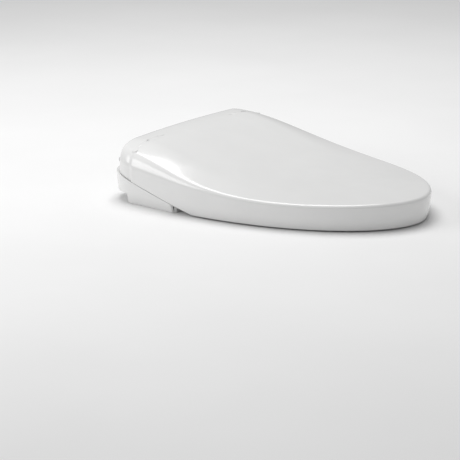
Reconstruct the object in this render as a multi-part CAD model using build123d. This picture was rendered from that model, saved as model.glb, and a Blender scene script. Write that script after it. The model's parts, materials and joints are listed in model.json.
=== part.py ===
from build123d import *
import os
from math import atan2, cos, degrees, pi, radians, sin, sqrt, tan

# Electric bidet seat. Millimetres. +Z up, nose towards -Y, rear towards +Y.
# z = 0 is the toilet rim that the seat rests on. x = 0, y = 0 is the midpoint
# between the two fixing slots.

# ---- driving dimensions: outer envelope ----
NOSE_Y = -475.0
REAR_Y = 39.0
WIDEST_Y = -120.0
HALF_WIDTH = 194.0
REAR_HALF_WIDTH = 188.0
PLAN_LENGTH_POWER = 2.0
PLAN_WIDTH_POWER = 1.9
REAR_CORNER = 60.0
SECTION_HEIGHTS = (0.0, 24.0, 50.0, 128.0)
SECTION_INSETS = (7.0, 2.2, 0.3, 0.0)

# ---- hinge and lid profile ----
HINGE_Y = 8.0
HINGE_Z = 70.0
LID_RADIUS = 28.0
LID_WALL = 4.0
SKIRT_WALL = 3.5
LID_FRONT_Z = 44.0
LID_POWER = 7.0
CROWN = 3.0
SHOULDER_DROP = 2.0
SIDE_ROLL = 19.0
ROLL_START_X = 135.0
ROLL_POWER = 1.6
SKIRT_GAP = 2.5
LIP_ANGLE = 76.0

# ---- seam between the lid skirt and the side covers ----
SEAM_SLOPE = 16.5
SEAM_RADIUS = 20.1
SEAM_GAP = 1.0
COVER_FRONT_Y = -113.0
COVER_TOP_Z = 49.5
OVERHANG_Y = -12.0
OVERHANG_Z = 17.0
COVER_WALL = 3.0

# ---- central housing ----
HOUSING_X = 138.0
BARREL_RADIUS = 23.3
HOUSING_FRONT_Y = -106.0
HOUSING_REAR_Y = 28.0
HOUSING_SLOPE = 15.0
PARTING_Z = 20.0
CASE_WALL = 2.5
BRIDGE_TOP_Z = 14.0

# ---- seat ring ----
RING_INSET = 11.5
RING_FRONT_Z = 36.0
RING_REAR_Z = 56.0
RING_REAR_Y = -117.0
RING_BASE_Z = 8.0
RING_SPLIT_Z = 13.0
RING_WALL = 3.0
HOLE_FRONT_Y = -398.0
HOLE_REAR_Y = -142.0
HOLE_HALF_WIDTH = 107.0
NOTCH_X = 104.0
NOTCH_Z = 34.0
ARM_X = (141.0, 160.0)
ARM_EYE_RADIUS = 13.0
EAR_X = (163.0, 178.0)
EAR_RADIUS = 13.0

# ---- hinge shafts ----
SHAFT_RADIUS = 5.0
BUSH_RADIUS = 7.0
RUN = 0.05
DAMPER_RADIUS = 13.0
DAMPER_X = (92.0, 134.0)

# ---- mounting plate ----
PLATE_X = 98.0
PLATE_Y = 28.0
PLATE_T = 3.0
BOLT_SPACING = 140.0
SLOT_LENGTH = 36.0
SLOT_RADIUS = 4.5
RAIL_X = 30.0
UNIT_TRAVEL = 20.0

# ---- wash wand ----
WAND_TILT = 25.0
WAND_FRONT = (-105.0, 25.0)
WAND_RADIUS = 6.0
WAND_LENGTH = 116.0
TIP_RADIUS = 7.4
TIP_LENGTH = 24.0
RACK_MODULE = 1.0
PINION_TEETH = 12
RACK_START = 24.5
PINION_S = 27.5
PINION_DROP = -13.0
MOTOR_SHAFT = 2.5
WAND_TRAVEL = 84.0

# ---- dryer ----
DRYER_X = (44.0, 92.0)
DRYER_Z = (10.0, 27.0)
BLOWER_AT = (68.0, -30.0)
BLOWER_Z = (16.0, 44.0)
IMPELLER_RADIUS = 20.0
IMPELLER_BLADES = 18
FLAP_AT = (-107.5, 25.6)

# ---- side controls on the +X cover ----
BUTTON_RADIUS = 4.5
BUTTON_PITCH = 15.0
BUTTON_FIRST_Y = -97.0
BUTTON_COUNT = 3
BUTTON_BELOW_SEAM = 10.8
CASSETTE_Y = (-44.0, -16.5)
CASSETTE_Z = (5.0, 25.0)
CASSETTE_X = (141.0, 187.0)
IR_WINDOW_Y = (-50.5, -46.5)
IR_WINDOW_Z = (9.0, 23.0)

# ---- water, power and deodoriser ----
INLET_AT = (10.0, 29.0)
INLET_RADIUS = 10.48
INLET_X = (141.0, 166.0)
INLET_STEM = 8.0
GLAND_AT = (-112.0, 34.0)
DRAIN_AT = (-113.0, -3.5)
TANK_AT = (-76.0, -74.0)
TANK_SIZE = (78.0, 46.0)
TANK_Z = (3.0, 42.0)
FAN_X = (119.0, 129.0)
FAN_Y = (-42.0, -16.0)
FAN_Z = (2.6, 28.6)
FAN_AXIS = (-29.0, 15.6)
CONTROL_Z = 46.0

# ---- fasteners and release lever ----
SCREW_PLACES = ((-128.0, -97.0), (128.0, -97.0), (-128.0, -50.0), (128.0, -50.0))
SCREW_RADIUS = 1.95
LEVER_Y = (8.0, 16.0)


# ---------------------------------------------------------------- helpers
def block(x, y, z):
    size = (x[1] - x[0], y[1] - y[0], z[1] - z[0])
    return Pos((x[0] + x[1]) / 2, (y[0] + y[1]) / 2, (z[0] + z[1]) / 2) * Box(*size)


def rod_x(x, y, z, radius):
    return Pos((x[0] + x[1]) / 2, y, z) * Rot(0, 90, 0) * Cylinder(radius, x[1] - x[0])


def rod_y(x, y, z, radius):
    return Pos(x, (y[0] + y[1]) / 2, z) * Rot(90, 0, 0) * Cylinder(radius, y[1] - y[0])


def rod_z(x, y, z, radius):
    return Pos(x, y, (z[0] + z[1]) / 2) * Cylinder(radius, z[1] - z[0])


def side_face(*edges):
    return Plane.YZ * make_face(Curve() + list(edges))


def side_prism(points, x):
    face = Plane.YZ * make_face(Polyline(*points, close=True))
    return Pos(x[0], 0, 0) * extrude(face, amount=x[1] - x[0])


def both_sides(solid):
    return solid + mirror(solid, about=Plane.YZ)


def mirrored_range(x):
    return (-x[1], -x[0])


def save(name, shape):
    solids = shape.solids()
    whole = solids[0] if len(solids) == 1 else Compound(children=list(solids))
    export_step(whole, f"parts/{name}.step")


# ---------------------------------------------------------------- envelope
def front_points(half_width, nose_y, count):
    points = []
    for i in range(count + 1):
        turn = radians(90.0 * i / count)
        x = half_width * cos(turn) ** (2 / PLAN_WIDTH_POWER)
        y = WIDEST_Y + (nose_y - WIDEST_Y) * sin(turn) ** (2 / PLAN_LENGTH_POWER)
        points.append((max(x, 0.0), y))
    return points


def plan_face(inset, z):
    half_width = HALF_WIDTH - inset
    right = front_points(half_width, NOSE_Y + inset, 9)
    left = [(-x, y) for x, y in reversed(right[:-1])]
    front = Spline(*(right + left), tangents=((0, -1), (0, 1)))
    rear_x = REAR_HALF_WIDTH - inset
    side_r = TangentArc((half_width, WIDEST_Y), (rear_x, REAR_Y), tangent=(0, 1))
    side_l = TangentArc((-half_width, WIDEST_Y), (-rear_x, REAR_Y), tangent=(0, 1))
    rear = Line((rear_x, REAR_Y), (-rear_x, REAR_Y))
    face = make_face(Curve() + [front, side_r, side_l, rear])
    corners = face.vertices().group_by(Axis.Y)[-1]
    return Pos(0, 0, z) * fillet(corners, REAR_CORNER)


def crown_at(x):
    """Height that the lid's gentle crown adds at a distance from the middle."""
    return CROWN - (CROWN + SHOULDER_DROP) * (x / 200.0) ** 2


def roll_at(x):
    """How much lower the rear roll is towards the sides."""
    return SIDE_ROLL * max(0.0, (abs(x) - ROLL_START_X) / (200.0 - ROLL_START_X)) ** ROLL_POWER


def lid_height(y, x):
    start = NOSE_Y - 10.0
    s = min(max((y - start) / (HINGE_Y - start), 0.0), 1.0)
    rise = HINGE_Z + LID_RADIUS - LID_FRONT_Z - roll_at(x)
    return LID_FRONT_Z + rise * sin(pi / 2 * s) ** LID_POWER + crown_at(x)


def profile_face(drop, x):
    """Side view of everything under the lid's top at a distance from the middle."""
    start = NOSE_Y - 10.0
    points = []
    for i in range(13):
        y = start + (HINGE_Y - start) * i / 12
        turn = atan2(lid_height(y + 0.5, x) - lid_height(y - 0.5, x), 1.0) if 0 < i < 12 else 0.0
        points.append((y + drop * sin(turn), lid_height(y, x) - drop * cos(turn)))
    radius = LID_RADIUS - drop + crown_at(x) - roll_at(x)
    top = Spline(*points, tangents=((1, 0), (1, 0)))
    over = CenterArc((HINGE_Y, HINGE_Z), radius, 0, 90)
    down = Polyline((HINGE_Y + radius, HINGE_Z), (HINGE_Y + radius, -5), (start, -5), points[0])
    return side_face(top, over, down)


def under_profile(drop):
    sections = [Pos(x, 0, 0) * profile_face(drop, x) for x in (-200, -170, -135, 0, 135, 170, 200)]
    return loft(sections)


def skirt_solid(inset):
    """Everything inside the outer side walls, from the rim up."""
    return loft([plan_face(inset + extra, z) for z, extra in zip(SECTION_HEIGHTS, SECTION_INSETS)])


def envelope(inset, drop):
    return skirt_solid(inset) & under_profile(drop)


def seam_point(y, below):
    turn = radians(SEAM_SLOPE)
    foot_y = HINGE_Y + SEAM_RADIUS * sin(turn)
    foot_z = HINGE_Z - SEAM_RADIUS * cos(turn)
    return (y, foot_z + (y - foot_y) * tan(turn) - below / cos(turn))


def seam_faces(below):
    """Closed side view of everything above the seam, moved down by the given distance."""
    radius = SEAM_RADIUS + below
    turn = radians(SEAM_SLOPE)
    foot = (HINGE_Y + radius * sin(turn), HINGE_Z - radius * cos(turn))
    start_y = foot[0] - (foot[1] - SKIRT_GAP) / tan(turn)
    arc = CenterArc((HINGE_Y, HINGE_Z), radius, SEAM_SLOPE - 90, 90 - SEAM_SLOPE)
    end = (HINGE_Y + radius, HINGE_Z)
    outline = Polyline(end, (end[0], 140), (-500, 140), (-500, SKIRT_GAP), (start_y, SKIRT_GAP), foot)
    return side_face(outline, arc)


def above_seam(below, x):
    return Pos(x[0], 0, 0) * extrude(seam_faces(below), amount=x[1] - x[0])


# ---------------------------------------------------------------- lid
def lid_shell():
    shell = envelope(0.0, 0.0) - envelope(SKIRT_WALL, LID_WALL)
    shell &= above_seam(0.0, (-200, 200))
    lip = radians(LIP_ANGLE)
    reach = 80.0
    rear_wedge = side_prism([(HINGE_Y, HINGE_Z),
                             (HINGE_Y + reach * cos(lip), HINGE_Z + reach * sin(lip)),
                             (HINGE_Y + reach, HINGE_Z - reach), (HINGE_Y, HINGE_Z - reach)],
                            (-200, 200))
    shell -= rear_wedge
    ear = rod_x(EAR_X, HINGE_Y, HINGE_Z, EAR_RADIUS)
    ear += block(EAR_X, (HINGE_Y - 11, HINGE_Y + 7), (HINGE_Z, 140))
    ear &= envelope(1.0, 1.5)
    shell += both_sides(ear)
    left_hole = rod_x(mirrored_range(EAR_X), HINGE_Y, HINGE_Z, SHAFT_RADIUS + RUN)
    return shell - left_hole - lid_shaft()


def lid_shaft():
    """Right-hand shaft, keyed in the lid's ear and turning in the lid damper."""
    shaft = rod_x((DAMPER_X[0] + 6, EAR_X[1]), HINGE_Y, HINGE_Z, SHAFT_RADIUS)
    return shaft - block((EAR_X[0], EAR_X[1]), (HINGE_Y - 8, HINGE_Y + 8), (HINGE_Z + 3.5, HINGE_Z + 8))


def seat_shaft():
    """Left-hand shaft, keyed in the seat's arm and turning in the seat damper."""
    shaft = rod_x((-EAR_X[1], -DAMPER_X[0] - 6), HINGE_Y, HINGE_Z, SHAFT_RADIUS)
    flat = block((-ARM_X[1], -ARM_X[0]), (HINGE_Y - 8, HINGE_Y + 8), (HINGE_Z + 3.5, HINGE_Z + 8))
    return shaft - flat


def ring_height(y):
    return RING_FRONT_Z + (RING_REAR_Z - RING_FRONT_Z) * max(0.0, (y + 330) / (RING_REAR_Y + 330)) ** 1.6


def lid_bumpers(shell):
    pads = Part()
    for x, y in ((118, -210), (88, -395)):
        base = ring_height(y) + 1.4
        pads += both_sides(rod_z(x, y, (base, base + 16), 6.0))
    inside = envelope(SKIRT_WALL, LID_WALL)
    return (pads & inside) - shell


# ---------------------------------------------------------------- seat ring
def hole_face(grow):
    front = HOLE_FRONT_Y - grow
    rear = HOLE_REAR_Y + grow
    wide = HOLE_HALF_WIDTH + grow
    middle = -245.0
    right = Spline((0, front), (wide * 0.62, front + 28), (wide, middle), (wide * 0.66, rear - 22), (0, rear),
                   tangents=((1, 0), (-1, 0)))
    return make_face(Curve() + [right, mirror(right, about=Plane.YZ)])


def ring_profile(base, drop, x):
    points = [(y, ring_height(y) - drop) for y in (-480, -420, -360, -300, -240, -180, RING_REAR_Y + 5)]
    top = Spline(*points)
    rest = Polyline(points[-1], (points[-1][0], base), (points[0][0], base), points[0])
    return Pos(x[0], 0, 0) * extrude(side_face(top, rest), amount=x[1] - x[0])


def ring_solid(inset, base, drop, cut_notch):
    outer = extrude(plan_face(RING_INSET + inset, 0), amount=90)
    outer &= block((-200, 200), (-500, RING_REAR_Y - inset), (0, 90))
    ring = outer - extrude(hole_face(inset), amount=90)
    ring &= ring_profile(base, drop, (-200, 200))
    if cut_notch:
        notch = block((-NOTCH_X - inset, NOTCH_X + inset), (HOLE_REAR_Y - 6, RING_REAR_Y + 5),
                      (0, NOTCH_Z + inset))
        ring -= notch
    return ring


def seat_arm(inset):
    eye = rod_x((ARM_X[0] + inset, ARM_X[1] - inset), HINGE_Y, HINGE_Z, ARM_EYE_RADIUS - inset)
    reach = HINGE_Y - 2.0
    strap = side_prism([(RING_REAR_Y - 30, 30), (RING_REAR_Y - 2, 26), (reach, HINGE_Z - 12.5),
                        (reach, HINGE_Z + 11.5), (RING_REAR_Y - 34, ring_height(RING_REAR_Y - 34))],
                       (ARM_X[0] + inset, ARM_X[1] - inset))
    return eye + strap


def seat_top():
    ring = ring_solid(0.0, RING_SPLIT_Z, 0.0, True)
    cavity = ring_solid(RING_WALL, RING_SPLIT_Z - 1, RING_WALL, True)
    cavity -= both_sides(block((ARM_X[0] - 2, ARM_X[1] + 2), (RING_REAR_Y - 36, 0), (0, 90)))
    shell = ring - cavity
    shell += both_sides(seat_arm(0.0))
    shell -= rod_x(ARM_X, HINGE_Y, HINGE_Z, BUSH_RADIUS)
    return shell - seat_shaft()


def seat_bottom():
    plate = ring_solid(0.3, RING_BASE_Z, 0.0, True) & block((-200, 200), (-500, 0), (RING_BASE_Z, RING_SPLIT_Z))
    return plate - both_sides(block((ARM_X[0] - 1, ARM_X[1] + 1), (RING_REAR_Y - 4, 0), (0, 90)))


def seat_heater():
    film = ring_solid(9.0, RING_SPLIT_Z + 4, RING_WALL, False)
    film -= ring_solid(8.0, RING_SPLIT_Z, RING_WALL + 1.0, False)
    return film - block((-200, 200), (HOLE_REAR_Y - 40, 0), (0, 90))


def seat_sensor():
    strip = block((-16, 16), (-448, -412), (RING_SPLIT_Z, RING_SPLIT_Z + 3))
    return strip + block((-5, 5), (-435, -425), (RING_SPLIT_Z + 3, RING_SPLIT_Z + 6))


def seat_bumpers():
    pads = Part()
    for x, y in ((146, -196), (50, -418)):
        pads += both_sides(extrude(Pos(x, y, 0) * RectangleRounded(28, 14, 5), amount=RING_BASE_Z))
    return pads


def seat_bush():
    bush = rod_x(ARM_X, HINGE_Y, HINGE_Z, BUSH_RADIUS)
    return bush - rod_x(ARM_X, HINGE_Y, HINGE_Z, SHAFT_RADIUS + RUN)


# ---------------------------------------------------------------- casings
def cover_region(inset, x):
    """Side view of the space under the seam behind the covers' front end."""
    front = COVER_FRONT_Y + inset
    region = block(x, (front, REAR_Y + 1), (0, COVER_TOP_Z - inset)) - above_seam(SEAM_GAP + inset, x)
    region -= block(x, (OVERHANG_Y - inset, REAR_Y + 2), (-1, OVERHANG_Z + inset))
    return region


def side_cover(outer):
    x = (HOUSING_X + 1.0, 200.0)
    cover = outer & cover_region(0.0, x)
    hollow_x = (HOUSING_X, 200.0)
    hollow = skirt_solid(COVER_WALL) & cover_region(COVER_WALL, hollow_x)
    hollow += block((HOUSING_X, 178), (COVER_FRONT_Y + COVER_WALL, OVERHANG_Y - COVER_WALL), (-1, 8))
    hollow &= block(hollow_x, (COVER_FRONT_Y + COVER_WALL, REAR_Y - COVER_WALL), (-1, 90))
    cover -= hollow
    front_corner = Pos(HALF_WIDTH - 3.5, COVER_FRONT_Y, 0) * Rot(0, 0, 38) * Box(14, 12, 200)
    return cover - front_corner


def button_centres():
    centres = []
    for i in range(BUTTON_COUNT):
        y = BUTTON_FIRST_Y + i * BUTTON_PITCH * cos(radians(SEAM_SLOPE))
        centres.append((y, seam_point(y, BUTTON_BELOW_SEAM)[1]))
    return centres


def right_cover(outer):
    cover = side_cover(outer)
    for y, z in button_centres():
        cover -= rod_x((150, 210), y, z, BUTTON_RADIUS + 0.35)
    gap = 0.4
    cover -= block((150, 210), (CASSETTE_Y[0] - gap, CASSETTE_Y[1] + gap), (CASSETTE_Z[0] - gap, CASSETTE_Z[1] + gap))
    inlet_y, inlet_z = INLET_AT
    cover -= block((HOUSING_X, 210), (inlet_y - 14, inlet_y + 14), (-1, inlet_z + 12.5))
    return cover - ir_window(outer)


def ir_window(outer):
    """Dark window of the remote's receiver, flush in the right cover."""
    skin = outer - skirt_solid(2.5)
    return skin & block((150, 210), IR_WINDOW_Y, IR_WINDOW_Z)


def button(outer_proud, y, z):
    face = rod_x((182, 200), y, z, BUTTON_RADIUS) & outer_proud
    collar = rod_x((180, 182), y, z, BUTTON_RADIUS + 1.3)
    return face + collar + rod_x((168.5, 180), y, z, 2.0)


def button_board():
    y, z = zip(*button_centres())
    board = block((162, 163.6), (y[0] - 8, CASSETTE_Y[0] - 2), (4, 10))
    for i in range(BUTTON_COUNT):
        board += block((162, 163.6), (y[i] - 8, y[i] + 8), (4, z[i] + 3))
    return board + block((163.6, 170), (IR_WINDOW_Y[0], IR_WINDOW_Y[1]), (8, 14))


def button_domes():
    domes = Part()
    for y, z in button_centres():
        domes += rod_x((163.6, 166.8), y, z, 3.5) - rod_x((163.5, 166.0), y, z, 2.7)
    return domes


def housing_profile(inset, base):
    """Side view of the central housing: sloping front, straight roof and round barrel."""
    turn = radians(HOUSING_SLOPE)
    radius = BARREL_RADIUS - inset
    tangent = (HINGE_Y - radius * sin(turn), HINGE_Z + radius * cos(turn))
    front_y = HOUSING_FRONT_Y + inset
    roof_y = HOUSING_FRONT_Y + 10 + inset
    roof_z = tangent[1] - (tangent[0] - roof_y) * tan(turn)
    rear_y = HOUSING_REAR_Y - inset
    drop = sqrt(radius ** 2 - (rear_y - HINGE_Y) ** 2)
    end_angle = degrees(atan2(-drop, rear_y - HINGE_Y))
    barrel = CenterArc((HINGE_Y, HINGE_Z), radius, end_angle, 90 + HOUSING_SLOPE - end_angle)
    outline = Polyline(tangent, (roof_y, roof_z), (front_y, roof_z - 14), (front_y, base), (rear_y, base),
                       (rear_y, HINGE_Z - drop))
    return side_face(barrel, outline)


def housing(inset, base, half_width):
    return Pos(-half_width, 0, 0) * extrude(housing_profile(inset, base), amount=2 * half_width)


def dryer_window(grow, y):
    x = (DRYER_X[0] - grow, DRYER_X[1] + grow)
    z = (DRYER_Z[0] - grow, DRYER_Z[1] + grow)
    return block(x, y, z)


def wand_window(y):
    z = WAND_FRONT[1]
    return block((-11, 11), y, (z - 13, z + 11))


def top_case():
    case = housing(0.0, PARTING_Z, HOUSING_X)
    case -= housing(CASE_WALL, PARTING_Z - 1, HOUSING_X - CASE_WALL)
    case -= block((-112, 112), (HOUSING_FRONT_Y - 1, HOUSING_FRONT_Y + 4), (5, 36))
    for x, y in SCREW_PLACES:
        wall_x = (130, HOUSING_X - 1) if x > 0 else (1 - HOUSING_X, -130)
        boss = rod_z(x, y, (PARTING_Z, PARTING_Z + 12), 5.0)
        boss += block(wall_x, (y - 2, y + 2), (PARTING_Z + 2, PARTING_Z + 12))
        case += boss - rod_z(x, y, (0, 100), SCREW_RADIUS + 0.02)
    inlet_y, inlet_z = INLET_AT
    case -= rod_x((HOUSING_X - 6, HOUSING_X + 1), inlet_y, inlet_z, INLET_STEM + 0.3)
    case -= rod_y(GLAND_AT[0], (HOUSING_REAR_Y - 6, HOUSING_REAR_Y + 1), GLAND_AT[1], 6.2)
    return case - rod_x((-200, 200), HINGE_Y, HINGE_Z, SHAFT_RADIUS + 0.25)


def plate_rails(grow, y, z):
    stem = block((RAIL_X - 4 - grow, RAIL_X + 4 + grow), y, (z[0], z[1]))
    cap = block((RAIL_X - 8 - grow, RAIL_X + 8 + grow), y, (6 - grow, z[1]))
    return both_sides(stem + cap)


def bottom_case():
    inner = (-HOUSING_X + 2, HOUSING_X - 2)
    deck_x = (-PLATE_X - 5, PLATE_X + 5)
    rear = HOUSING_REAR_Y
    case = block((-HOUSING_X, HOUSING_X), (HOUSING_FRONT_Y, OVERHANG_Y), (0, PARTING_Z))
    case += block((-HOUSING_X, HOUSING_X), (OVERHANG_Y - 3, rear), (OVERHANG_Z, PARTING_Z))
    case += block(deck_x, (-45, rear), (PLATE_T + 1, PARTING_Z))
    case -= block(inner, (HOUSING_FRONT_Y + 2, OVERHANG_Y - 3), (2.5, PARTING_Z + 1))
    case -= block(inner, (OVERHANG_Y - 4, rear - 2), (OVERHANG_Z + 1.5, PARTING_Z + 1))
    case -= block((-PLATE_X - 3, PLATE_X + 3), (-45, rear - 2), (BRIDGE_TOP_Z, PARTING_Z + 1))
    case += block(deck_x, (-45, rear - 2), (PLATE_T + 1, BRIDGE_TOP_Z))
    case += block(deck_x, (-45, -PLATE_Y - 1), (0, BRIDGE_TOP_Z))
    case -= block((-PLATE_X - 0.6, PLATE_X + 0.6), (-PLATE_Y - 1, rear + 1), (-1, PLATE_T + 1))
    case -= plate_rails(0.5, (-PLATE_Y - 1, rear + 1), (PLATE_T, 9.5))
    case -= both_sides(block((48, 92), (-16, rear + 1), (PLATE_T, 11.5)))
    case -= block((-112, 112), (HOUSING_FRONT_Y - 1, HOUSING_FRONT_Y + 3), (5, PARTING_Z + 1))
    case -= block((-HOUSING_X - 1, -PLATE_X - 7), (OVERHANG_Y - 3, rear + 1), (-1, OVERHANG_Z))
    for x, y in SCREW_PLACES:
        foot = 0 if y < OVERHANG_Y else OVERHANG_Z
        case += rod_z(x, y, (foot, PARTING_Z), 5.0)
        case -= rod_z(x, y, (0, PARTING_Z + 1), SCREW_RADIUS + 0.2)
        case -= rod_z(x, y, (foot - 1, foot + 2.2), 4.2)
    case -= lever_gap()
    case -= block((HOUSING_X - 4, HOUSING_X + 1), (FAN_Y[0] + 3, FAN_Y[1] - 3), (6, 19))
    return case - rod_z(DRAIN_AT[0], DRAIN_AT[1], (0, 40), 5.2)


def front_panel():
    panel = block((-116, 116), (HOUSING_FRONT_Y - 2.5, HOUSING_FRONT_Y), (4, 37))
    panel += block((-111.5, 111.5), (HOUSING_FRONT_Y, HOUSING_FRONT_Y + 2.5), (5.5, 35.5))
    panel -= dryer_window(0.6, (-200, -90))
    panel -= rod_x((DRYER_X[0] - 2, DRYER_X[1] + 2), FLAP_AT[0], FLAP_AT[1], 1.1)
    return panel - wand_window((-200, -90))


def case_gasket():
    y = (HOUSING_FRONT_Y + 2.8, HOUSING_REAR_Y - 2.8)
    rim = block((-135.4, 135.4), y, (PARTING_Z + 0.1, PARTING_Z + 0.9))
    rim -= block((-133.8, 133.8), (y[0] + 1.6, y[1] - 1.6), (0, 40))
    rim -= block((-113, 113), (y[0] - 1, y[0] + 5), (0, 40))
    for x, y in SCREW_PLACES:
        rim -= rod_z(x, y, (0, 60), 5.3)
    return rim


def case_screws():
    screws = Part()
    for x, y in SCREW_PLACES:
        foot = 0 if y < OVERHANG_Y else OVERHANG_Z
        head = rod_z(x, y, (foot + 0.2, foot + 2.2), 3.9)
        head -= block((x - 2.6, x + 2.6), (y - 0.5, y + 0.5), (foot, foot + 1.2))
        head -= block((x - 0.5, x + 0.5), (y - 2.6, y + 2.6), (foot, foot + 1.2))
        screws += head + rod_z(x, y, (foot + 2.2, PARTING_Z + 10), SCREW_RADIUS)
    return screws


# ---------------------------------------------------------------- mounting plate
def mounting_plate():
    plate = extrude(Pos(0, -1, 0) * RectangleRounded(2 * PLATE_X, 2 * PLATE_Y - 2, 8), amount=PLATE_T)
    plate += plate_rails(0.0, (-PLATE_Y + 2, PLATE_Y - 4), (PLATE_T, 9.0))
    for x in (-BOLT_SPACING / 2, BOLT_SPACING / 2):
        plate -= extrude(Pos(x, 0, -1) * SlotOverall(SLOT_LENGTH, 2 * SLOT_RADIUS), amount=PLATE_T + 2)
    notch_y = (LEVER_Y[0] - UNIT_TRAVEL - 1, LEVER_Y[1] + 1)
    return plate - block((-PLATE_X - 1, -PLATE_X + 5.5), notch_y, (-1, PLATE_T + 1))


def release_lever():
    """Finger lever under the overhang, with a tongue in the plate's side notch."""
    handle = block((-132, -118), (LEVER_Y[0] - 2, LEVER_Y[1] + 8), (5, OVERHANG_Z - 0.5))
    bar = block((-118, -106), LEVER_Y, (5, 10))
    tongue = block((-106, -PLATE_X + 4), LEVER_Y, (0.5, 10))
    tongue -= block((-104.5, -90), (LEVER_Y[0] - 1, LEVER_Y[1] + 1), (PLATE_T + 0.5, 11))
    return handle + bar + tongue


def lever_gap():
    gap = block((-PLATE_X - 9, -PLATE_X + 8), (LEVER_Y[0] - 0.5, LEVER_Y[1] + 0.5), (-1, 11))
    stop = block((-HOUSING_X - 1, -105.5), (LEVER_Y[0] - 2.5, LEVER_Y[1] + 8.5), (-1, OVERHANG_Z))
    return gap + stop


def release_spring():
    middle = (LEVER_Y[0] + LEVER_Y[1]) / 2
    coil = Part()
    for i in range(5):
        x = -117.5 + 2.4 * i
        coil += rod_x((x, x + 1.0), middle, 13.0, 3.0)
        coil += block((x, x + 2.4 if i < 4 else x + 1.0), (middle - 0.5, middle + 0.5), (15.0, 16.0))
    return coil - rod_x((-130, -90), middle, 13.0, 2.0)


# ---------------------------------------------------------------- wash wand
def along_wand(shape):
    """Place a shape drawn with its wand axis along +Y into the tilted wand frame."""
    return Pos(0, WAND_FRONT[0], WAND_FRONT[1]) * Rot(WAND_TILT, 0, 0) * shape


def wand_tube():
    tube = rod_y(0, (0, WAND_LENGTH), 0, WAND_RADIUS) - rod_y(0, (-1, WAND_LENGTH - 4), 0, WAND_RADIUS - 0.8)
    return along_wand(tube)


def wand_tip():
    tip = rod_y(0, (-0.5, TIP_LENGTH), 0, TIP_RADIUS) - rod_y(0, (0, TIP_LENGTH + 1), 0, WAND_RADIUS)
    for y in (7.0, 13.0):
        tip -= rod_z(0, y, (WAND_RADIUS - 1, TIP_RADIUS + 1), 1.6)
        for i in range(6):
            turn = radians(60 * i)
            tip -= rod_z(2.9 * cos(turn), y + 2.9 * sin(turn), (WAND_RADIUS - 1, TIP_RADIUS + 1), 0.5)
    return along_wand(tip)


def wand_gate():
    z = WAND_FRONT[1]
    plate = block((-10.5, 10.5), (HOUSING_FRONT_Y - 2.5, HOUSING_FRONT_Y - 0.6), (z - 12.5, z + 10.5))
    return plate - along_wand(rod_y(0, (-0.5, 30), 0, TIP_RADIUS))


def rack_pitch():
    return pi * RACK_MODULE


def wand_rack():
    """Rack beside the wand tube, teeth facing down, reaching from the pinion to the tube's end."""
    x = (WAND_RADIUS + 0.5, WAND_RADIUS + 4.0)
    bar = block(x, (RACK_START, WAND_LENGTH), (-5.75, 2.5))
    bar += block((WAND_RADIUS - 1.5, x[1]), (RACK_START, WAND_LENGTH), (-1.8, 1.8))
    pitch = rack_pitch()
    count = int((WAND_LENGTH - 2 - PINION_S) / pitch)
    for i in range(count):
        y = PINION_S + (i + 0.5) * pitch
        tooth = side_prism([(y - 0.98, -5.7), (y + 0.98, -5.7), (y + 0.38, -7.9), (y - 0.38, -7.9)], x)
        bar += tooth
    return along_wand(bar - rod_y(0, (-1, WAND_LENGTH + 1), 0, WAND_RADIUS))


def wand_pinion():
    x = (WAND_RADIUS + 0.7, WAND_RADIUS + 3.8)
    pitch_radius = RACK_MODULE * PINION_TEETH / 2
    root = pitch_radius - 1.25
    gear = rod_x(x, 0, 0, root)
    for i in range(PINION_TEETH):
        tooth = side_prism([(-1.0, root - 0.3), (1.0, root - 0.3), (0.62, pitch_radius), (0.3, pitch_radius + 0.9),
                            (-0.3, pitch_radius + 0.9), (-0.62, pitch_radius)], x)
        gear += Rot(360 * i / PINION_TEETH, 0, 0) * tooth
    gear = Pos(0, PINION_S, PINION_DROP) * gear
    return along_wand(gear - rod_x((0, 20), PINION_S, PINION_DROP, MOTOR_SHAFT))


def motor_shaft():
    return along_wand(rod_x((WAND_RADIUS + 0.7, 26), PINION_S, PINION_DROP, MOTOR_SHAFT))


def wand_motor():
    can = rod_x((15, 34), PINION_S, PINION_DROP, 14.0)
    can += rod_x((13.5, 15), PINION_S, PINION_DROP, 4.5)
    ears = block((15, 16), (PINION_S - 19, PINION_S + 19), (PINION_DROP - 3.5, PINION_DROP + 3.5))
    return along_wand(can + ears - rod_x((0, 27), PINION_S, PINION_DROP, MOTOR_SHAFT + RUN))


def wand_guide():
    """Cradle on the unit's floor, closed on three sides of the wand and open on the rack's side."""
    bore = rod_y(0, (-5, WAND_LENGTH + 20), 0, WAND_RADIUS + RUN)
    cradle = block((-10, 4.8), (27, 106), (-10, 9)) - block((-12, -7.9), (40, 94), (-5, 12)) - bore
    rear_leg = along_wand(block((-10, 4.8), (88, 98), (-60, -9.9)))
    front_leg = along_wand(block((-10, 4.8), (30, 38), (-40, -9.9)))
    room = block((-20, 20), (-100, 25), (BRIDGE_TOP_Z, 80))
    low_room = block((-20, 20), (HOUSING_FRONT_Y + 6, -46), (2.5, 80))
    return along_wand(cradle) + (rear_leg & room) + (front_leg & low_room)


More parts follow.
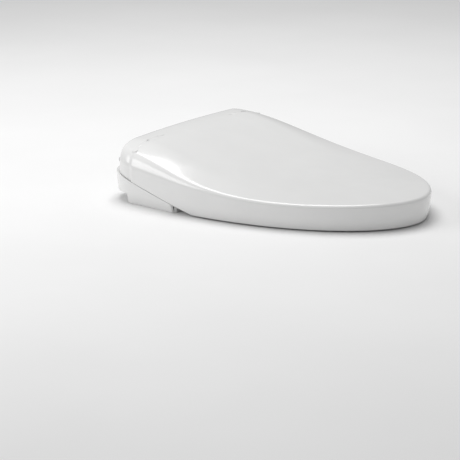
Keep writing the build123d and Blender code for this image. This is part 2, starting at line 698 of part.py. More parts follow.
# ---------------------------------------------------------------- warm air dryer
def blower_housing():
    x, y = BLOWER_AT
    shell = rod_z(x, y, BLOWER_Z, IMPELLER_RADIUS + 8)
    shell += block((x - 22, x + 22), (y - 34, y), (BLOWER_Z[0], BLOWER_Z[0] + 18))
    hollow = rod_z(x, y, (BLOWER_Z[0] + 2, BLOWER_Z[1] - 2), IMPELLER_RADIUS + 6)
    hollow += block((x - 20, x + 20), (y - 35, y), (BLOWER_Z[0] + 2, BLOWER_Z[0] + 16))
    shell -= hollow
    shell -= rod_z(x, y, (BLOWER_Z[1] - 3, BLOWER_Z[1] + 1), 18)
    for i in range(3):
        turn = 90 + 120 * i
        spoke = Pos(x, y, 0) * Rot(0, 0, turn) * block((0, 19), (-2, 2), (BLOWER_Z[1] - 2, BLOWER_Z[1]))
        shell += spoke
    return shell - rod_z(x, y, (BLOWER_Z[1] - 3, BLOWER_Z[1] + 1), 6)


def blower_impeller():
    x, y = BLOWER_AT
    z = (BLOWER_Z[0] + 4, BLOWER_Z[1] - 4)
    wheel = rod_z(x, y, (z[0], z[0] + 2), IMPELLER_RADIUS) + rod_z(x, y, (z[0], z[1] - 2), 5)
    for i in range(IMPELLER_BLADES):
        blade = block((IMPELLER_RADIUS - 7, IMPELLER_RADIUS - 0.5), (-0.6, 0.6), (z[0] + 1, z[1]))
        blade = Pos(IMPELLER_RADIUS - 4, 0, 0) * Rot(0, 0, 35) * Pos(-IMPELLER_RADIUS + 4, 0, 0) * blade
        wheel += Pos(x, y, 0) * Rot(0, 0, 360 * i / IMPELLER_BLADES) * blade
    band = rod_z(x, y, (z[1] - 2, z[1]), IMPELLER_RADIUS) - rod_z(x, y, (0, 100), IMPELLER_RADIUS - 1.5)
    return wheel + band - rod_z(x, y, (0, 100), 1.5)


def blower_shaft():
    x, y = BLOWER_AT
    return rod_z(x, y, (BLOWER_Z[0] + 4, BLOWER_Z[1] + 10), 1.5)


def blower_motor():
    x, y = BLOWER_AT
    can = rod_z(x, y, (BLOWER_Z[1] + 0.1, BLOWER_Z[1] + 20), 13) + rod_z(x, y, (BLOWER_Z[1] - 2, BLOWER_Z[1] + 0.1), 5.9)
    return can - rod_z(x, y, (0, BLOWER_Z[1] + 11), 1.5 + RUN)


def dryer_duct():
    y = (HOUSING_FRONT_Y + 2.6, BLOWER_AT[1] - 34.1)
    x = (DRYER_X[0] + 1, DRYER_X[1] - 1)
    low, high = DRYER_Z[0] - 1, DRYER_Z[1] + 1
    outer = side_prism([(y[0], low), (y[0], high), (y[1], BLOWER_Z[0] + 18), (y[1], BLOWER_Z[0])], x)
    inner = side_prism([(y[0] - 1, low + 1.5), (y[0] - 1, high - 1.5), (y[1] + 1, BLOWER_Z[0] + 16),
                        (y[1] + 1, BLOWER_Z[0] + 2)], (x[0] + 1.5, x[1] - 1.5))
    return outer - inner


def dryer_heater():
    x = (DRYER_X[0] + 3, DRYER_X[1] - 3)
    y = (HOUSING_FRONT_Y + 11, HOUSING_FRONT_Y + 26)
    z = (DRYER_Z[0] + 6, DRYER_Z[1] - 1.5)
    frame = block((x[0], x[0] + 2), y, z) + block((x[1] - 2, x[1]), y, z)
    for i in range(4):
        for k in range(3):
            frame += rod_x((x[0] + 1, x[1] - 1), y[0] + 2 + 3.6 * i, z[0] + 1.6 + 3.1 * k, 0.7)
    return frame


def dryer_flap():
    y = (HOUSING_FRONT_Y - 2.4, HOUSING_FRONT_Y - 0.5)
    flap = block((DRYER_X[0], DRYER_X[1]), y, DRYER_Z)
    for i in range(3):
        z = DRYER_Z[0] + 4 + 3.5 * i
        flap -= block((DRYER_X[0] + 4, DRYER_X[1] - 4), (y[0] - 1, y[0] + 0.5), (z, z + 0.8))
    return flap + rod_x((DRYER_X[0] - 1.8, DRYER_X[1] + 1.8), FLAP_AT[0], FLAP_AT[1], 1.0)


# ---------------------------------------------------------------- water
def heater_tank():
    outer = extrude(Pos(TANK_AT[0], TANK_AT[1], TANK_Z[0]) * RectangleRounded(*TANK_SIZE, 8), amount=TANK_Z[1] - TANK_Z[0])
    inner_size = (TANK_SIZE[0] - 5, TANK_SIZE[1] - 5)
    inner = extrude(Pos(TANK_AT[0], TANK_AT[1], TANK_Z[0] + 2.5) * RectangleRounded(*inner_size, 6),
                    amount=TANK_Z[1] - TANK_Z[0] - 5)
    tank = outer - inner
    for i in range(4):
        x = TANK_AT[0] - 27 + 18 * i
        tank += block((x - 1, x + 1), (TANK_AT[1] - 20, TANK_AT[1] + 20), (TANK_Z[1], TANK_Z[1] + 2))
    return tank - rod_y(TANK_AT[0], (TANK_AT[1] + 15, TANK_AT[1] + 30), 22, 8)


def tank_element():
    x = TANK_AT[0]
    rear = TANK_AT[1] + TANK_SIZE[1] / 2
    flange = rod_y(x, (rear, rear + 3), 22, 11) + rod_y(x, (rear - 2.5, rear), 22, 7.9)
    for side in (-4, 4):
        flange += rod_y(x + side, (TANK_AT[1] - 16, rear), 22, 2.2)
    return flange + block((x - 4, x + 4), (TANK_AT[1] - 18, TANK_AT[1] - 14), (20.2, 23.8))


def thermostat():
    cap = rod_z(TANK_AT[0], TANK_AT[1], (TANK_Z[1], TANK_Z[1] + 5), 6.5)
    tabs = block((TANK_AT[0] - 3, TANK_AT[0] - 2.2), (TANK_AT[1] - 2, TANK_AT[1] + 2), (TANK_Z[1] + 5, TANK_Z[1] + 10))
    return cap + tabs + Pos(5.2, 0, 0) * tabs


def valve_block():
    inlet_y, inlet_z = INLET_AT
    body = block((106, 131), (inlet_y - 11, inlet_y + 11), (20, 42))
    body += rod_z(112, inlet_y, (42, 46), 8)
    outlet = rod_x((98, 106), inlet_y, inlet_z, 4)
    return body + outlet


def solenoid():
    inlet_y = INLET_AT[0]
    coil = rod_z(112, inlet_y, (46, 56), 10) + block((100, 124), (inlet_y - 7, inlet_y + 7), (46, 48))
    return coil + block((119, 126), (inlet_y - 4, inlet_y + 4), (48, 55))


def inlet_nipple():
    y, z = INLET_AT
    nipple = rod_x((HOUSING_X + 0.2, INLET_X[0] + 1.5), y, z, 12) + rod_x((131, HOUSING_X + 1), y, z, INLET_STEM)
    nipple += rod_x(INLET_X, y, z, INLET_RADIUS)
    return nipple - rod_x((130, INLET_X[1] + 1), y, z, 5.5)


def inlet_filter():
    y, z = INLET_AT
    cone = Pos(INLET_X[1] - 7, y, z) * Rot(0, -90, 0) * Cone(5.0, 2.5, 12)
    return cone - Pos(INLET_X[1] - 6.5, y, z) * Rot(0, -90, 0) * Cone(4.4, 1.9, 13)


def drain_plug():
    x, y = DRAIN_AT
    plug = rod_z(x, y, (OVERHANG_Z - 5, OVERHANG_Z - 0.1), 7.5) + rod_z(x, y, (OVERHANG_Z - 0.1, 21.5), 5.0)
    return plug - block((x - 5.5, x + 5.5), (y - 0.8, y + 0.8), (OVERHANG_Z - 6, OVERHANG_Z - 3))


# ---------------------------------------------------------------- deodoriser
def fan_frame():
    y, z = FAN_Y, FAN_Z
    frame = block(FAN_X, y, z) - rod_x((90, 160), FAN_AXIS[0], FAN_AXIS[1], 11.4)
    hub = rod_x((FAN_X[0], FAN_X[0] + 1.6), FAN_AXIS[0], FAN_AXIS[1], 4.5)
    for i in range(3):
        arm = block((FAN_X[0], FAN_X[0] + 1.6), (-1, 1), (4, 12))
        hub += Pos(0, FAN_AXIS[0], FAN_AXIS[1]) * Rot(120 * i, 0, 0) * arm
    return frame + hub


def fan_rotor():
    x = (FAN_X[0] + 2.4, FAN_X[1] - 0.6)
    rotor = rod_x(x, 0, 0, 4.5)
    for i in range(7):
        blade = Rot(0, 0, 32) * block((-0.5, 0.5), (-3.4, 3.4), (4, 10.6))
        blade = Pos((x[0] + x[1]) / 2, 0, 0) * blade
        rotor += Rot(360 * i / 7, 0, 0) * blade
    rotor &= rod_x(x, 0, 0, 10.8)
    return Pos(0, FAN_AXIS[0], FAN_AXIS[1]) * rotor


def filter_cassette(outer):
    body = block(CASSETTE_X, CASSETTE_Y, CASSETTE_Z)
    body -= block((CASSETTE_X[0] - 1, CASSETTE_X[1] - 2), (CASSETTE_Y[0] + 1.5, CASSETTE_Y[1] - 1.5),
                  (CASSETTE_Z[0] + 1.5, CASSETTE_Z[1] - 1.5))
    face = (outer - skirt_solid(3.0)) & block((150, 210), CASSETTE_Y, CASSETTE_Z)
    body = (body & skirt_solid(2.9)) + face
    grip = rod_z(195, (CASSETTE_Y[0] + CASSETTE_Y[1]) / 2, (0, 60), 8.5)
    return body - grip


def carbon_filter():
    return block((CASSETTE_X[0] + 1, CASSETTE_X[1] - 9), (CASSETTE_Y[0] + 1.7, CASSETTE_Y[1] - 1.7),
                 (CASSETTE_Z[0] + 1.7, CASSETTE_Z[1] - 1.7))


# ---------------------------------------------------------------- electronics and dampers
def power_board():
    board = block((-124, -30), (-38, 22), (22, 23.6))
    for x, y, size in ((-110, -28, 5), (-96, -28, 5), (-48, 10, 6)):
        board += rod_z(x, y, (23.6, 40), size)
    return board + block((-120, -104), (6, 18), (23.6, 36))


def transformer():
    core = block((-92, -64), (-8, 14), (23.6, 46))
    return core + block((-88, -68), (-12, 18), (28, 42))


def board_posts():
    posts = Part()
    for x in (-122, -36):
        for y in (-35, -17):
            posts += rod_z(x, y, (23.6, CONTROL_Z), 2.5)
    return posts


def control_board():
    top = CONTROL_Z + 1.6
    board = block((-124, -34), (-38, -14), (CONTROL_Z, top))
    for x, w in ((-96, 12), (-72, 8), (-54, 10)):
        board += block((x - w / 2, x + w / 2), (-31, -21), (top, top + 2.4))
    return board + block((-116, -108), (-36, -16), (top, top + 8))


def cable_gland():
    x, z = GLAND_AT
    gland = rod_y(x, (HOUSING_REAR_Y - 8, HOUSING_REAR_Y + 8), z, 6.0)
    gland += Pos(x, HOUSING_REAR_Y + 4.2, z) * Rot(90, 0, 0) * extrude(RegularPolygon(9.2, 6), amount=4)
    return gland - rod_y(x, (-20, HOUSING_REAR_Y + 20), z, 3.5)


def damper(side):
    body = rod_x(DAMPER_X, HINGE_Y, HINGE_Z, DAMPER_RADIUS)
    body += rod_x((DAMPER_X[1] - 2, DAMPER_X[1] + 1.3), HINGE_Y, HINGE_Z, 17)
    body -= rod_x((DAMPER_X[0] + 5, 150), HINGE_Y, HINGE_Z, SHAFT_RADIUS + RUN)
    return body if side > 0 else mirror(body, about=Plane.YZ)


# ---------------------------------------------------------------- write every node
def main():
    os.makedirs("parts", exist_ok=True)
    outer = skirt_solid(0.0)
    proud = skirt_solid(-0.8)
    lid = lid_shell()
    bush = seat_bush()
    nodes = {
        "mounting_plate": mounting_plate(),
        "bottom_case": bottom_case(),
        "top_case": top_case(),
        "left_side_cover": mirror(side_cover(outer), about=Plane.YZ),
        "right_side_cover": right_cover(outer),
        "front_panel": front_panel(),
        "case_gasket": case_gasket(),
        "case_screws": case_screws(),
        "release_lever": release_lever(),
        "release_spring": release_spring(),
        "lid_shell": lid,
        "lid_shaft": lid_shaft(),
        "lid_bumpers": lid_bumpers(lid),
        "seat_top_shell": seat_top(),
        "seat_bottom_plate": seat_bottom(),
        "seat_heater_film": seat_heater(),
        "seat_occupancy_sensor": seat_sensor(),
        "seat_bumpers": seat_bumpers(),
        "seat_shaft": seat_shaft(),
        "seat_bush": bush,
        "seat_damper": damper(-1),
        "lid_damper": damper(1),
        "wand_tube": wand_tube(),
        "wand_tip": wand_tip(),
        "wand_gate": wand_gate(),
        "wand_rack": wand_rack(),
        "wand_pinion": wand_pinion(),
        "wand_motor_shaft": motor_shaft(),
        "wand_motor": wand_motor(),
        "wand_guide": wand_guide(),
        "blower_housing": blower_housing(),
        "blower_impeller": blower_impeller(),
        "blower_shaft": blower_shaft(),
        "blower_motor": blower_motor(),
        "dryer_duct": dryer_duct(),
        "dryer_heater": dryer_heater(),
        "dryer_flap": dryer_flap(),
        "heater_tank": heater_tank(),
        "tank_element": tank_element(),
        "tank_thermostat": thermostat(),
        "valve_block": valve_block(),
        "valve_solenoid": solenoid(),
        "inlet_nipple": inlet_nipple(),
        "inlet_filter": inlet_filter(),
        "drain_plug": drain_plug(),
        "deodoriser_fan_frame": fan_frame(),
        "deodoriser_fan_rotor": fan_rotor(),
        "filter_cassette": filter_cassette(outer),
        "carbon_filter": carbon_filter(),
        "power_board": power_board(),
        "transformer": transformer(),
        "board_posts": board_posts(),
        "control_board": control_board(),
        "button_board": button_board(),
        "button_domes": button_domes(),
        "ir_window": ir_window(outer),
        "cable_gland": cable_gland(),
    }
    for name, (y, z) in zip(("power", "wash", "dry"), button_centres()):
        nodes[f"button_{name}"] = button(proud, y, z)
    for name, shape in nodes.items():
        save(name, shape)
    print(len(nodes), "nodes written")


main()
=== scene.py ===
import json
from math import cos, hypot, pi, radians, sin, sqrt, tan

import bmesh
import bpy
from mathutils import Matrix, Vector


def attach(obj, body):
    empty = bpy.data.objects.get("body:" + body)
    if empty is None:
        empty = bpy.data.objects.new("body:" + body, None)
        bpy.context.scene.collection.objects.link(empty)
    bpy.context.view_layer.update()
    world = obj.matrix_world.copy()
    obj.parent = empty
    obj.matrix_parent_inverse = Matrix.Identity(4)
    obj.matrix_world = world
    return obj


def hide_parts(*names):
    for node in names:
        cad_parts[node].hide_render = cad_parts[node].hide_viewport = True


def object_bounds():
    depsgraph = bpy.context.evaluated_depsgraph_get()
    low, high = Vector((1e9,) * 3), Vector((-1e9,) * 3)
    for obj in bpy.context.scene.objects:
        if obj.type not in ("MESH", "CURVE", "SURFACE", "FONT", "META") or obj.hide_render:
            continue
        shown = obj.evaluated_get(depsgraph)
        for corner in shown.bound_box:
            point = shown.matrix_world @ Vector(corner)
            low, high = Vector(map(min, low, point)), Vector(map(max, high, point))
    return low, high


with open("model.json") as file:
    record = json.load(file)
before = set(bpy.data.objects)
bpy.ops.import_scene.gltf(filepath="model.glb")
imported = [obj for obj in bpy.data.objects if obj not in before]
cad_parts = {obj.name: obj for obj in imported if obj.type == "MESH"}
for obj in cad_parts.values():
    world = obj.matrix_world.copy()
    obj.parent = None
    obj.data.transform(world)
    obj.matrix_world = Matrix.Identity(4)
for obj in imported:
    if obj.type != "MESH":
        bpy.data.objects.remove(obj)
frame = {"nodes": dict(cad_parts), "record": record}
cad_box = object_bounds()

# ---------------------------------------------------------------- sizes, metres
NOSE_Y, REAR_Y, WIDEST_Y = -0.475, 0.039, -0.120
HALF_WIDTH, REAR_HALF_WIDTH, REAR_CORNER = 0.194, 0.188, 0.060
LENGTH_POWER, WIDTH_POWER = 2.0, 1.9
HINGE_Y, HINGE_Z = 0.008, 0.070
LID_RADIUS, LID_FRONT_Z, LID_POWER = 0.028, 0.044, 7.0
CROWN, SHOULDER_DROP = 0.003, 0.002
SIDE_ROLL, ROLL_START_X, ROLL_POWER = 0.019, 0.135, 1.6
LIP_ANGLE = radians(76)
SEAM_SLOPE, SEAM_FOOT = radians(16.5), (0.0137, 0.0507)
SKIRT_GAP = 0.0025
LID_WALL = 0.0036
# a lid section runs over the shoulder first, then over the top
SHOULDER_SHARE, SHOULDER_ROWS = 0.3, 0.4
SPINE_FRONT_Y = -0.330
CORNER_STEP_OUT = 0.0012
# the inner and outer face of the right ear: its x and how high it reaches
EAR_FACES = ((0.163, 0.0868), (0.172, 0.0755))
EAR_RADIUS = 0.0100


# ---------------------------------------------------------------- materials
class Nodes:
    """A short way to build a node material."""

    def __init__(self, name):
        self.material = bpy.data.materials.new(name)
        self.material.use_nodes = True
        self.tree = self.material.node_tree
        self.shader = self.tree.nodes["Principled BSDF"]
        self.coords = self.tree.nodes.new("ShaderNodeTexCoord").outputs["Object"]

    def add(self, kind, inputs=None, **settings):
        node = self.tree.nodes.new(kind)
        for key, value in settings.items():
            setattr(node, key, value)
        for key, value in (inputs or {}).items():
            if isinstance(value, bpy.types.NodeSocket):
                self.tree.links.new(value, node.inputs[key])
            else:
                node.inputs[key].default_value = value
        return node

    def link(self, socket, target):
        self.tree.links.new(socket, self.shader.inputs[target])

    def noise(self, scale, detail=3.0, rough=0.5, vector=None):
        node = self.add("ShaderNodeTexNoise", {"Scale": scale, "Detail": detail, "Roughness": rough,
                                               "Vector": vector or self.coords})
        return node.outputs["Fac"]

    def remap(self, value, low, high, start=0.35, end=0.65):
        node = self.add("ShaderNodeMapRange", {"Value": value, "From Min": start, "From Max": end,
                                               "To Min": low, "To Max": high})
        return node.outputs["Result"]

    def mix(self, factor, one, two):
        node = self.add("ShaderNodeMix", data_type="RGBA")
        self.tree.links.new(factor, node.inputs["Factor"])
        for socket, value in ((node.inputs["A"], one), (node.inputs["B"], two)):
            if isinstance(value, bpy.types.NodeSocket):
                self.tree.links.new(value, socket)
            else:
                socket.default_value = (*value, 1.0)
        return node.outputs["Result"]

    def bump(self, height, strength, distance, normal=None):
        inputs = {"Height": height, "Strength": strength, "Distance": distance}
        if normal:
            inputs["Normal"] = normal
        return self.add("ShaderNodeBump", inputs).outputs["Normal"]


def shade(color, factor):
    return tuple(min(1.0, c * factor) for c in color)


def plastic(name, color, rough, coat=0.0, grain=0.0, dirt=0.97, soften=0.0006):
    """Moulded plastic: uneven gloss, a faint ripple from the mould and fine grain."""
    m = Nodes(name)
    cloud = m.noise(9.0, 4.0)
    tint = m.mix(m.remap(cloud, 0.0, 1.0), shade(color, dirt), color)
    speck = m.noise(1400.0, 2.0)
    tint = m.mix(m.remap(speck, 0.0, 0.25, 0.6, 0.75), tint, shade(color, 0.93))
    m.link(tint, "Base Color")
    smear = m.noise(38.0, 5.0, 0.6)
    m.link(m.remap(smear, rough[0], rough[1]), "Roughness")
    edge = m.add("ShaderNodeBevel", {"Radius": soften}, samples=6).outputs["Normal"]
    normal = m.bump(m.noise(17.0, 2.0), 0.35, 0.00006, edge)
    if grain:
        normal = m.bump(m.noise(900.0, 3.0), grain, 0.00008, normal)
    m.link(normal, "Normal")
    m.shader.inputs["Coat Weight"].default_value = coat
    m.shader.inputs["Coat Roughness"].default_value = 0.06
    m.shader.inputs["IOR"].default_value = 1.49
    return m.material


def metal(name, color, rough=(0.2, 0.34), stretch=(4.0, 60.0, 60.0), scale=12.0):
    """Drawn or turned metal: fine lines along the part, patchy polish."""
    m = Nodes(name)
    lines = m.add("ShaderNodeMapping", {"Vector": m.coords, "Scale": stretch}).outputs["Vector"]
    streak = m.noise(scale, 6.0, 0.7, lines)
    patch = m.noise(30.0, 4.0)
    m.link(m.mix(m.remap(patch, 0.0, 1.0), shade(color, 0.86), color), "Base Color")
    m.link(m.remap(streak, rough[0], rough[1]), "Roughness")
    edge = m.add("ShaderNodeBevel", {"Radius": 0.0003}, samples=4).outputs["Normal"]
    m.link(m.bump(streak, 0.25, 0.00003, edge), "Normal")
    m.shader.inputs["Metallic"].default_value = 1.0
    return m.material


def rubber(name, color):
    m = Nodes(name)
    m.link(m.mix(m.remap(m.noise(60.0, 4.0), 0.0, 1.0), shade(color, 0.8), color), "Base Color")
    m.link(m.remap(m.noise(240.0, 3.0), 0.55, 0.8), "Roughness")
    m.link(m.bump(m.noise(2200.0, 2.0), 0.5, 0.00012), "Normal")
    return m.material


def circuit(name):
    """Green lacquered board with copper tracks and pads."""
    m = Nodes(name)
    black, white = (0, 0, 0, 1), (1, 1, 1, 1)
    tracks = m.add("ShaderNodeTexBrick", {"Vector": m.coords, "Scale": 190.0, "Mortar Size": 0.035,
                                          "Color1": black, "Color2": black, "Mortar": white})
    pads = m.add("ShaderNodeTexVoronoi", {"Vector": m.coords, "Scale": 330.0}).outputs["Distance"]
    green = m.mix(m.remap(m.noise(80.0), 0.0, 1.0), (0.010, 0.11, 0.045), (0.018, 0.17, 0.07))
    traced = m.mix(tracks.outputs["Color"], green, (0.05, 0.30, 0.12))
    m.link(m.mix(m.remap(pads, 1.0, 0.0, 0.12, 0.16), traced, (0.62, 0.60, 0.52)), "Base Color")
    m.link(m.remap(m.noise(120.0), 0.25, 0.42), "Roughness")
    m.link(m.bump(tracks.outputs["Fac"], 0.3, 0.00006), "Normal")
    return m.material


def carbon(name):
    m = Nodes(name)
    cells = m.add("ShaderNodeTexVoronoi", {"Vector": m.coords, "Scale": 420.0}).outputs["Distance"]
    shown = m.remap(cells, 0.0, 1.0, 0.1, 0.6)
    m.link(m.mix(shown, (0.008, 0.008, 0.008), (0.05, 0.05, 0.052)), "Base Color")
    m.link(m.remap(cells, 0.6, 0.95, 0.1, 0.6), "Roughness")
    m.link(m.bump(cells, 0.9, 0.0006), "Normal")
    return m.material


WHITE = (0.83, 0.83, 0.825)
materials = {
    "white_gloss": plastic("white_gloss", WHITE, (0.13, 0.21), coat=0.35),
    "white_case": plastic("white_case", (0.74, 0.74, 0.73), (0.36, 0.5), grain=0.35),
    "grey_plastic": plastic("grey_plastic", (0.30, 0.31, 0.32), (0.38, 0.52), grain=0.5,
                            dirt=0.9),
    "dark_window": plastic("dark_window", (0.012, 0.008, 0.012), (0.05, 0.1), coat=0.5,
                           soften=0.0003),
    "white_rubber": rubber("white_rubber", (0.66, 0.66, 0.64)),
    "black_rubber": rubber("black_rubber", (0.018, 0.018, 0.018)),
    "stainless": metal("stainless", (0.60, 0.60, 0.61)),
    "bright_steel": metal("bright_steel", (0.78, 0.78, 0.79), (0.06, 0.13)),
    "circuit_board": circuit("circuit_board"),
    "foil": metal("foil", (0.70, 0.70, 0.71), (0.22, 0.4), (60.0, 60.0, 60.0), 20.0),
    "charcoal": carbon("charcoal"),
    "button_grey": plastic("button_grey", (0.55, 0.56, 0.575), (0.24, 0.34), grain=0.3),
    "nozzle_plastic": plastic("nozzle_plastic", (0.78, 0.78, 0.77), (0.16, 0.24), coat=0.2),
    "brass": metal("brass", (0.62, 0.44, 0.17), (0.22, 0.36)),
}


def dress(obj, slot_name):
    obj.data.materials.clear()
    obj.data.materials.append(materials[slot_name])


for part in frame["record"]["subparts"]:
    dress(frame["nodes"][part["node"]], part["material_slot"])


# ---------------------------------------------------------------- shapes
def smooth_step(x, low, high):
    t = min(max((x - low) / (high - low), 0.0), 1.0)
    return t * t * (3 - 2 * t)


def join_piece(name, mesh, body, slot_name):
    """Put a mesh in the scene as a smooth piece that rides on a body."""
    obj = bpy.data.objects.new(name, mesh)
    bpy.context.scene.collection.objects.link(obj)
    for polygon in mesh.polygons:
        polygon.use_smooth = True
    dress(obj, slot_name)
    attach(obj, body)
    return obj


def weld(bm):
    bmesh.ops.remove_doubles(bm, verts=bm.verts, dist=1e-6)
    bmesh.ops.recalc_face_normals(bm, faces=bm.faces)


def outline(inset, count=600):
    """Points along the right half of the lid's plan outline, from the nose to the rear."""
    wide = HALF_WIDTH - inset
    nose = NOSE_Y + inset
    points = []
    for i in range(count + 1):
        turn = pi / 2 * (1 - i / count)
        x = wide * max(cos(turn), 0.0) ** (2 / WIDTH_POWER)
        y = WIDEST_Y + (nose - WIDEST_Y) * sin(turn) ** (2 / LENGTH_POWER)
        points.append((x, y))
    rear = REAR_HALF_WIDTH - inset
    length, narrow = REAR_Y - WIDEST_Y, wide - rear
    radius = (length ** 2 + narrow ** 2) / (2 * narrow)
    for i in range(1, 81):
        y = WIDEST_Y + length * i / 80
        x = wide - radius + sqrt(radius ** 2 - (y - WIDEST_Y) ** 2)
        points.append((x, y))
    centre = (points[-1][0] + CORNER_STEP_OUT - REAR_CORNER, REAR_Y - REAR_CORNER)
    rounded = [p for p in points if p[1] < centre[1]]
    for i in range(61):
        turn = pi / 2 * i / 60
        rounded.append((centre[0] + REAR_CORNER * cos(turn), centre[1] + REAR_CORNER * sin(turn)))
    return rounded


class Path:
    """A line through points, read by its length."""

    def __init__(self, points):
        self.points = points
        self.at = [0.0]
        for a, b in zip(points, points[1:]):
            self.at.append(self.at[-1] + hypot(b[0] - a[0], b[1] - a[1]))

    def length_to_y(self, y):
        for i, point in enumerate(self.points):
            if point[1] >= y:
                a = self.points[max(i - 1, 0)]
                part = (y - a[1]) / max(point[1] - a[1], 1e-9)
                return self.at[max(i - 1, 0)] + part * hypot(point[0] - a[0], point[1] - a[1])
        return self.at[-1]

    def place(self, length):
        low, high = 0, len(self.at) - 1
        while high - low > 1:
            middle = (low + high) // 2
            if self.at[middle] <= length:
                low = middle
            else:
                high = middle
        a, b = self.points[low], self.points[high]
        part = (length - self.at[low]) / max(self.at[high] - self.at[low], 1e-9)
        return (a[0] + (b[0] - a[0]) * part, a[1] + (b[1] - a[1]) * part)

    def normal(self, length):
        step = 0.0015
        a = self.place(max(length - step, 0.0))
        b = self.place(min(length + step, self.at[-1]))
        dx, dy = b[0] - a[0], b[1] - a[1]
        if length < step:
            dx, dy = 1.0, 0.0
        size = hypot(dx, dy)
        return (dy / size, -dx / size)


def lean(z):
    """How far the skirt stands in from the widest outline at a height."""
    heights, insets = (0.0, 0.024, 0.050, 0.128), (0.007, 0.0022, 0.0003, 0.0)
    for i in range(3):
        if z <= heights[i + 1]:
            t = max((z - heights[i]) / (heights[i + 1] - heights[i]), 0.0)
            return insets[i] + (insets[i + 1] - insets[i]) * (1 - (1 - t) ** 1.6)
    return 0.0


def lift(x):
    return CROWN - (CROWN + SHOULDER_DROP) * (x / 0.2) ** 2


def side_roll(x):
    """How much lower the rear roll is towards the sides."""
    return SIDE_ROLL * max(0.0, (abs(x) - ROLL_START_X) / (0.2 - ROLL_START_X)) ** ROLL_POWER


def lid_top(x, y):
    if y > HINGE_Y:
        radius = LID_RADIUS + lift(x) - side_roll(x)
        return HINGE_Z + sqrt(max(radius ** 2 - (y - HINGE_Y) ** 2, 0.0))
    start = NOSE_Y - 0.010
    s = min(max((y - start) / (HINGE_Y - start), 0.0), 1.0)
    rise = HINGE_Z + LID_RADIUS - LID_FRONT_Z - side_roll(x)
    return LID_FRONT_Z + rise * sin(pi / 2 * s) ** LID_POWER + lift(x)


def seam_height(y):
    line = SEAM_FOOT[1] + (y - SEAM_FOOT[0]) * tan(SEAM_SLOPE)
    return max(SKIRT_GAP, line)


def shoulder_radius(y):
    return 0.0065 + 0.0155 * smooth_step(y, -0.25, 0.01) ** 1.5


def lip_line(x):
    radius = LID_RADIUS + lift(x) - side_roll(x)
    return HINGE_Y + radius * cos(LIP_ANGLE)


def top_plan(path, length, turn, s, radius, low_inset):
    """Plan place of a point over the shoulder and the top, and how far round the shoulder it is."""
    x, y = path.place(length)
    nx, ny = path.normal(length)
    over = min(s / SHOULDER_SHARE, 1.0)
    roll = over * pi / 2
    inset = low_inset * (1 - over) + radius * (1 - cos(roll))
    px, py = x - nx * inset, y - ny * inset
    if s > SHOULDER_SHARE:
        t = (s - SHOULDER_SHARE) / (1 - SHOULDER_SHARE)
        spine_y = SPINE_FRONT_Y + (lip_line(0.0) - SPINE_FRONT_Y) * turn ** 1.15
        px, py = px * (1 - t), py + (spine_y - py) * t
    return px, py, roll


def lid_point(path, ends, tau, v, s):
    """A point of the lid's outside: tau runs round the skirt, v up the skirt, s over the top."""
    side_length, corner_length = ends
    turn = abs(tau)
    side = 1.0 if tau >= 0 else -1.0
    length = turn * side_length
    x, y = path.place(length)
    radius = shoulder_radius(y)
    bottom = seam_height(y)
    top = lid_top(x, y) - radius
    z = bottom + (top - bottom) * v
    stretch = smooth_step(turn, 0.88, 1.0) * smooth_step(z, HINGE_Z - 0.012, HINGE_Z + 0.012)
    length += stretch * (corner_length - side_length)
    if v < 1.0:
        x, y = path.place(length)
        nx, ny = path.normal(length)
        inset = lean(z)
        return Vector((side * (x - nx * inset), y - ny * inset, z))
    px, py, roll = top_plan(path, length, turn, s, radius, lean(top))
    end_radius = shoulder_radius(HINGE_Y)
    end_x, end_y, _ = top_plan(path, corner_length, 1.0, s, end_radius, lean(top))
    py += smooth_step(turn, 0.72, 1.0) * (lip_line(end_x) - end_y) * min(s / 0.08, 1.0)
    return Vector((side * px, py, lid_top(px, py) - radius * (1 - sin(roll))))


def grid_faces(rows, columns):
    faces = []
    for r in range(rows - 1):
        for c in range(columns - 1):
            a = r * columns + c
            faces.append((a, a + 1, a + 1 + columns, a + columns))
    return faces


def lid():
    path = Path(outline(0.0))
    ends = (path.length_to_y(HINGE_Y + 0.0003), path.length_to_y(lip_line(0.178)))
    columns, skirt_rows, top_rows = 301, 14, 40
    verts = []
    for r in range(skirt_rows):
        for c in range(columns):
            verts.append(lid_point(path, ends, -1 + 2 * c / (columns - 1), r / skirt_rows, 0.0))
    for r in range(top_rows):
        s = r / (top_rows - 1)
        if s < SHOULDER_ROWS:
            s *= SHOULDER_SHARE / SHOULDER_ROWS
        else:
            s = SHOULDER_SHARE + (s - SHOULDER_ROWS) / (1 - SHOULDER_ROWS) * (1 - SHOULDER_SHARE)
        for c in range(columns):
            verts.append(lid_point(path, ends, -1 + 2 * c / (columns - 1), 1.0, s))
    mesh = bpy.data.meshes.new("lid_cover")
    mesh.from_pydata(verts, [], grid_faces(skirt_rows + top_rows, columns))
    mesh.validate()
    bm = bmesh.new()
    bm.from_mesh(mesh)
    weld(bm)
    bm.to_mesh(mesh)
    bm.free()
    orient_up(mesh)
    obj = join_piece("lid_cover", mesh, "lid", "white_gloss")
    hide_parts("lid_shell")
    shell = obj.modifiers.new("wall", "SOLIDIFY")
    shell.thickness = LID_WALL
    shell.offset = -1.0
    soften = obj.modifiers.new("rim", "BEVEL")
    soften.width = 0.0010
    soften.segments = 3
    soften.limit_method = "ANGLE"
    soften.angle_limit = radians(50)


def orient_up(mesh):
    """Turn every face outwards on an open sheet whose top faces up."""
    up = sum(p.normal.z * p.area for p in mesh.polygons)
    if up < 0:
        mesh.flip_normals()


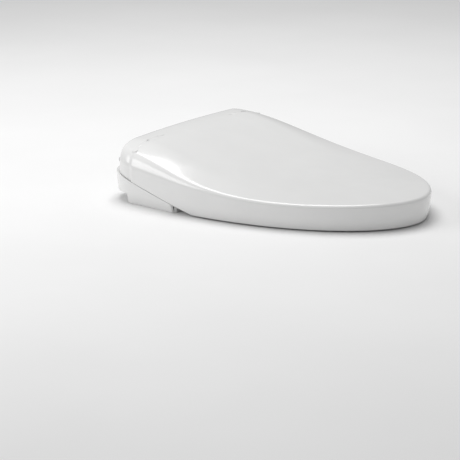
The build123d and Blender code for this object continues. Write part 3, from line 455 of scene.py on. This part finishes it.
def lid_ears():
    """Two lugs that carry the lid's turn down to its shaft."""
    bm = bmesh.new()
    left_faces = [(-x, high) for x, high in reversed(EAR_FACES)]
    for faces in (left_faces, EAR_FACES):
        profile = []
        for i in range(25):
            turn = pi + pi * i / 24
            profile.append((HINGE_Y + EAR_RADIUS * cos(turn), HINGE_Z + EAR_RADIUS * sin(turn)))
        front, back = [], []
        for (x, high), ring in zip(faces, (front, back)):
            corners = [(HINGE_Y + 0.001, high), (HINGE_Y - 0.012, high)]
            ring += [bm.verts.new((x, y, z)) for y, z in profile + corners]
        bm.faces.new(front)
        bm.faces.new(back[::-1])
        for i in range(len(front)):
            k = (i + 1) % len(front)
            bm.faces.new((front[i], front[k], back[k], back[i]))
    mesh = bpy.data.meshes.new("lid_ears")
    weld(bm)
    bm.to_mesh(mesh)
    bm.free()
    round_edges(join_piece("lid_ears", mesh, "lid", "white_gloss"), 0.0010)


def round_edges(obj, width):
    """Round an object's sharp edges and keep its flat faces flat."""
    soften = obj.modifiers.new("edges", "BEVEL")
    soften.width = width
    soften.segments = 3
    soften.limit_method = "ANGLE"
    soften.angle_limit = radians(30)
    soften.harden_normals = True
    weighted = obj.modifiers.new("normals", "WEIGHTED_NORMAL")
    weighted.keep_sharp = True


def rounded_copy(node, body, slot_name, width):
    """A copy of a CAD node's surface with its sharp edges rounded over."""
    mesh = frame["nodes"][node].data.copy()
    bm = bmesh.new()
    bm.from_mesh(mesh)
    bmesh.ops.remove_doubles(bm, verts=bm.verts, dist=2e-6)
    bmesh.ops.dissolve_limit(bm, angle_limit=radians(1.5), verts=bm.verts, edges=bm.edges)
    bm.to_mesh(mesh)
    bm.free()
    obj = join_piece(node + "_moulded", mesh, body, slot_name)
    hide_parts(node)
    round_edges(obj, width)


lid()
lid_ears()
for node, body, slot_name, width in (
        ("seat_top_shell", "seat", "white_gloss", 0.0030),
        ("left_side_cover", "main_unit", "white_gloss", 0.0010),
        ("right_side_cover", "main_unit", "white_gloss", 0.0008),
        ("top_case", "main_unit", "white_case", 0.0012),
        ("front_panel", "main_unit", "white_gloss", 0.0006)):
    rounded_copy(node, body, slot_name, width)


# ---------------------------------------------------------------- room, light and camera
def floor():
    bpy.ops.mesh.primitive_plane_add(size=8.0, location=(0, 0, cad_box[0][2] - 0.0002))
    obj = bpy.context.object
    obj.name = "floor"
    m = Nodes("floor_paint")
    patches = m.remap(m.noise(3.0), 0.0, 1.0)
    m.link(m.mix(patches, (0.84, 0.84, 0.84), (0.86, 0.86, 0.86)), "Base Color")
    m.shader.inputs["Roughness"].default_value = 0.9
    obj.data.materials.append(m.material)


def area(name, place, target, size, power):
    data = bpy.data.lights.new(name, "AREA")
    data.shape = "RECTANGLE"
    data.size, data.size_y = size
    data.energy = power
    obj = bpy.data.objects.new(name, data)
    bpy.context.scene.collection.objects.link(obj)
    obj.location = place
    obj.rotation_euler = (Vector(target) - Vector(place)).to_track_quat("-Z", "Y").to_euler()


def camera(azimuth, elevation, distance, focal_px, target, frame_px=460.0):
    data = bpy.data.cameras.new("camera")
    data.sensor_width = 36.0
    data.lens = focal_px / frame_px * 36.0
    data.clip_end = 50.0
    obj = bpy.data.objects.new("camera", data)
    bpy.context.scene.collection.objects.link(obj)
    az, el = radians(azimuth), radians(elevation)
    back = Vector((sin(az) * cos(el), -cos(az) * cos(el), sin(el)))
    obj.location = Vector(target) + back * distance
    obj.rotation_euler = (-back).to_track_quat("-Z", "Y").to_euler()
    bpy.context.scene.camera = obj


floor()
area("key_left", place=(-1.5, 1.1, 1.0), target=(0, -0.1, 0.03), size=(1.1, 1.1), power=13)
area("sky_top", place=(0.3, 0.3, 2.2), target=(0, -0.15, 0), size=(1.6, 1.6), power=37)
world = bpy.data.worlds.new("world")
bpy.context.scene.world = world
world.use_nodes = True
background = world.node_tree.nodes["Background"]
background.inputs["Color"].default_value = (1.0, 1.0, 1.0, 1.0)
background.inputs["Strength"].default_value = 0.36
bpy.context.scene.view_settings.view_transform = "Standard"
camera(azimuth=-52.97, elevation=16.71, distance=3.3398, focal_px=1971.4,
       target=(-0.06791, -0.13732, -0.05311))
